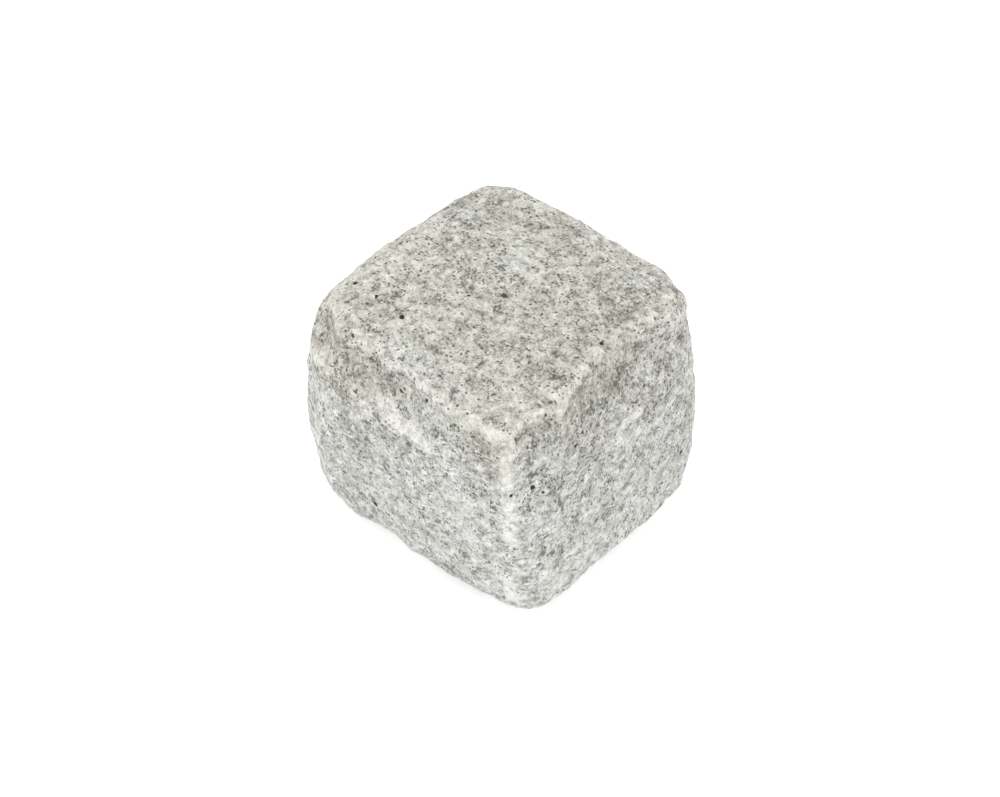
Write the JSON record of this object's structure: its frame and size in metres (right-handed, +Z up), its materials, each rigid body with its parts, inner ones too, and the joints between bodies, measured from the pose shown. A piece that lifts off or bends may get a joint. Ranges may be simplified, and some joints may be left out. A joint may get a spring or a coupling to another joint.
{
  "type": "granite sett",
  "caption": "Tumbled cube-shaped granite paving sett with swollen split sides, worn round edges, shallow spalls and a flat bed, for laying in paths, kerbs and borders.",
  "frame": {"origin": "on the ground, under the middle of the block's outline", "axes": "+Z up from the bed to the head, +X to the right along the longest side, -Y to the front"},
  "size_m": [0.1016, 0.0982, 0.0903],
  "materials": {
    "granite": "matt, split and tumbled: pale feldspar and grey quartz with dark mica flecks, faintly stained beige on the head"
  },
  "bodies": {
    "root": {"granite_sett": "granite"}
  },
  "joints": []
}
